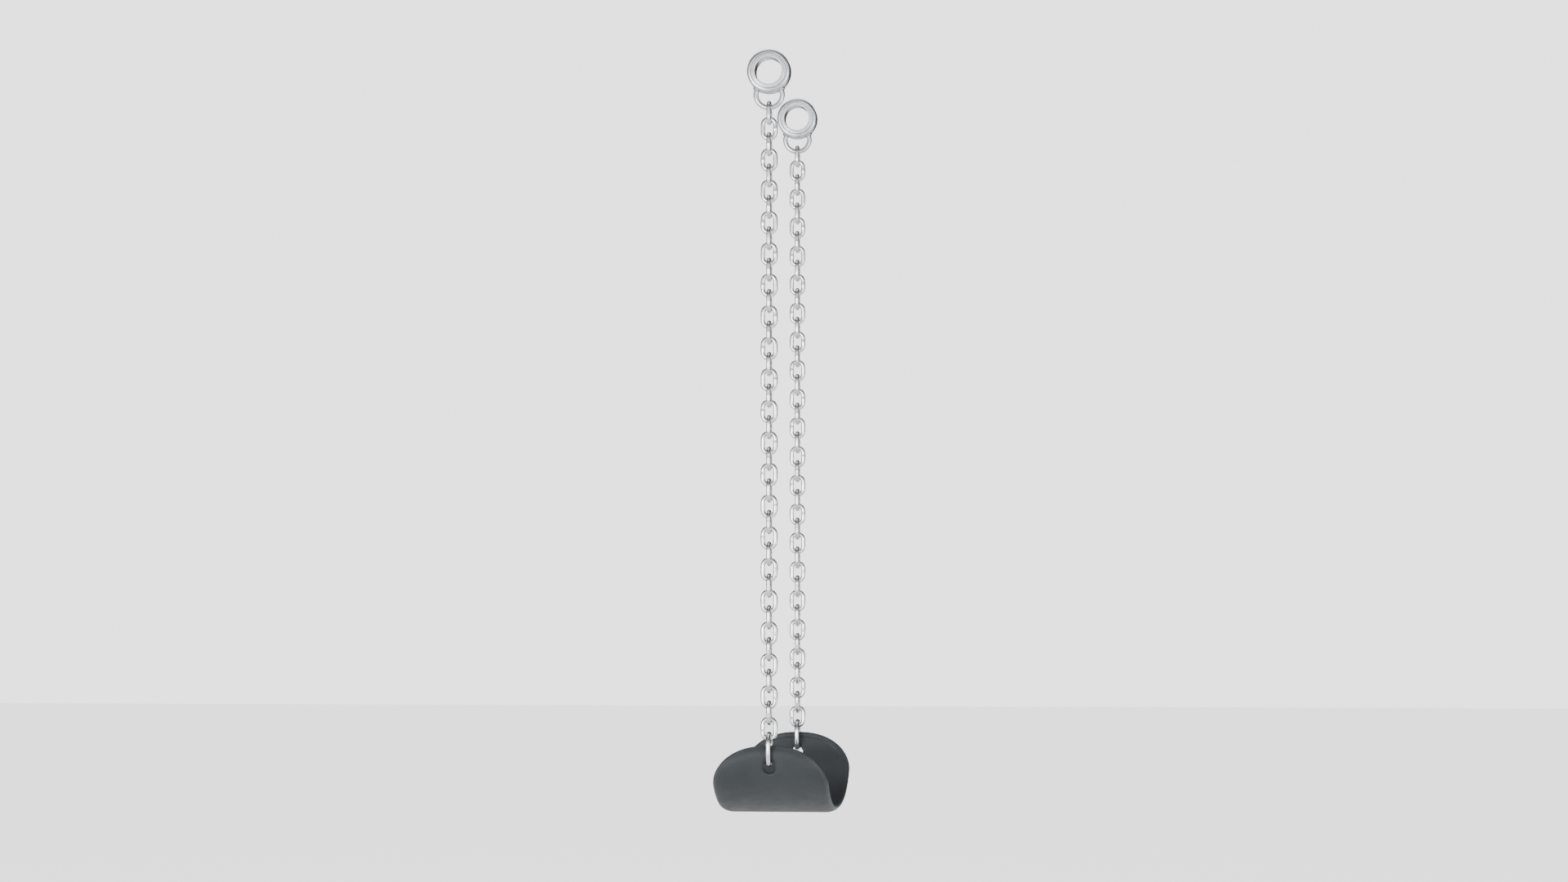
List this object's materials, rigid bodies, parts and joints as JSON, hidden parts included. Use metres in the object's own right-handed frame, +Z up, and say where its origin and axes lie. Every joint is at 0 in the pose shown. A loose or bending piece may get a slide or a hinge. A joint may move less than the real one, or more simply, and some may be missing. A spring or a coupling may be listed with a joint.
{
  "type": "belt swing seat",
  "caption": "Moulded rubber belt seat hung by two long welded-link chains from ring hangers that turn on a round beam.",
  "frame": {"origin": "on the beam's axis, midway between the two hangers", "axes": "+X along the beam and across the seat, +Y the way the seat swings, +Z up"},
  "size_m": [0.5242, 0.184, 1.2203],
  "materials": {
    "rubber": "moulded charcoal rubber, satin, fine grain",
    "webbing": "woven polyester webbing",
    "chain_zinc": "bright zinc plated, satin",
    "hanger_zinc": "bright zinc plated, satin, welded",
    "bush_steel": "turned stainless steel",
    "insert_steel": "pressed steel, moulded in"
  },
  "bodies": {
    "bearings": {"left_bush_inside": "bush_steel", "left_bush_outside": "bush_steel", "right_bush_inside": "bush_steel", "right_bush_outside": "bush_steel"},
    "left_hanger": {"left_collar": "hanger_zinc", "left_bail": "hanger_zinc"},
    "left_top_link": {"left_link_01": "chain_zinc"},
    "left_upper_chain": {"left_links_02_03": "chain_zinc", "left_links_04_05": "chain_zinc", "left_links_06_07": "chain_zinc", "left_links_08_09": "chain_zinc", "left_links_10_11": "chain_zinc", "left_links_12_13": "chain_zinc", "left_links_14_15": "chain_zinc", "left_links_16_17": "chain_zinc", "left_links_18_19": "chain_zinc", "left_links_20_21": "chain_zinc"},
    "left_lower_chain": {"left_links_22_23": "chain_zinc", "left_links_24_25": "chain_zinc", "left_links_26_27": "chain_zinc", "left_links_28_29": "chain_zinc", "left_links_30_31": "chain_zinc", "left_links_32_33": "chain_zinc", "left_links_34_35": "chain_zinc", "left_links_36_37": "chain_zinc", "left_links_38_39": "chain_zinc"},
    "left_bottom_link": {"left_link_40": "chain_zinc"},
    "left_end_link": {"left_end_link": "chain_zinc"},
    "right_hanger": {"right_collar": "hanger_zinc", "right_bail": "hanger_zinc"},
    "right_top_link": {"right_link_01": "chain_zinc"},
    "right_upper_chain": {"right_links_02_03": "chain_zinc", "right_links_04_05": "chain_zinc", "right_links_06_07": "chain_zinc", "right_links_08_09": "chain_zinc", "right_links_10_11": "chain_zinc", "right_links_12_13": "chain_zinc", "right_links_14_15": "chain_zinc", "right_links_16_17": "chain_zinc", "right_links_18_19": "chain_zinc", "right_links_20_21": "chain_zinc"},
    "right_lower_chain": {"right_links_22_23": "chain_zinc", "right_links_24_25": "chain_zinc", "right_links_26_27": "chain_zinc", "right_links_28_29": "chain_zinc", "right_links_30_31": "chain_zinc", "right_links_32_33": "chain_zinc", "right_links_34_35": "chain_zinc", "right_links_36_37": "chain_zinc", "right_links_38_39": "chain_zinc"},
    "right_bottom_link": {"right_link_40": "chain_zinc"},
    "right_end_link": {"right_end_link": "chain_zinc"},
    "seat": {"belt": "rubber", "webbing_band": "webbing", "left_plate": "insert_steel", "left_rivet_back": "insert_steel", "left_rivet_front": "insert_steel", "right_plate": "insert_steel", "right_rivet_back": "insert_steel", "right_rivet_front": "insert_steel"}
  },
  "joints": [
    {"name": "left_swing", "type": "hinge", "parent": "bearings", "child": "left_hanger", "pos_m": [-0.2425, 0, 0], "axis": [1, 0, 0], "range_deg": [-60, 60]},
    {"name": "left_sway", "type": "hinge", "parent": "left_hanger", "child": "left_top_link", "pos_m": [-0.2425, 0, -0.0575], "axis": [0, 1, 0], "range_deg": [-15, 15]},
    {"name": "left_fold", "type": "hinge", "parent": "left_top_link", "child": "left_upper_chain", "pos_m": [-0.2425, 0, -0.082], "axis": [1, 0, 0], "range_deg": [-50, 50]},
    {"name": "left_knee", "type": "hinge", "parent": "left_upper_chain", "child": "left_lower_chain", "pos_m": [-0.2425, 0, -0.582], "axis": [1, 0, 0], "range_deg": [-100, 100]},
    {"name": "left_foot", "type": "hinge", "parent": "left_lower_chain", "child": "left_bottom_link", "pos_m": [-0.2425, 0, -1.032], "axis": [1, 0, 0], "range_deg": [-50, 50]},
    {"name": "left_level", "type": "hinge", "parent": "left_bottom_link", "child": "left_end_link", "pos_m": [-0.2425, 0, -1.057], "axis": [0, 1, 0], "range_deg": [-15, 15]},
    {"name": "right_swing", "type": "hinge", "parent": "bearings", "child": "right_hanger", "pos_m": [0.2425, 0, 0], "axis": [1, 0, 0], "range_deg": [-60, 60]},
    {"name": "right_sway", "type": "hinge", "parent": "right_hanger", "child": "right_top_link", "pos_m": [0.2425, 0, -0.0575], "axis": [0, 1, 0], "range_deg": [-15, 15]},
    {"name": "right_fold", "type": "hinge", "parent": "right_top_link", "child": "right_upper_chain", "pos_m": [0.2425, 0, -0.082], "axis": [1, 0, 0], "range_deg": [-50, 50]},
    {"name": "right_knee", "type": "hinge", "parent": "right_upper_chain", "child": "right_lower_chain", "pos_m": [0.2425, 0, -0.582], "axis": [1, 0, 0], "range_deg": [-100, 100]},
    {"name": "right_foot", "type": "hinge", "parent": "right_lower_chain", "child": "right_bottom_link", "pos_m": [0.2425, 0, -1.032], "axis": [1, 0, 0], "range_deg": [-50, 50]},
    {"name": "right_level", "type": "hinge", "parent": "right_bottom_link", "child": "right_end_link", "pos_m": [0.2425, 0, -1.057], "axis": [0, 1, 0], "range_deg": [-15, 15]},
    {"name": "seat_pitch", "type": "hinge", "parent": "left_end_link", "child": "seat", "pos_m": [-0.2425, 0, -1.0965], "axis": [1, 0, 0], "range_deg": [-30, 30]}
  ],
  "couplings": [
    {"joint": "right_swing", "follows": "left_swing", "ratio": 1},
    {"joint": "right_sway", "follows": "left_sway", "ratio": 1},
    {"joint": "left_level", "follows": "left_sway", "ratio": -1},
    {"joint": "right_level", "follows": "left_sway", "ratio": -1},
    {"joint": "right_fold", "follows": "left_fold", "ratio": 1},
    {"joint": "left_knee", "follows": "left_fold", "ratio": -2},
    {"joint": "right_knee", "follows": "left_fold", "ratio": -2},
    {"joint": "left_foot", "follows": "left_fold", "ratio": 1},
    {"joint": "right_foot", "follows": "left_fold", "ratio": 1}
  ]
}
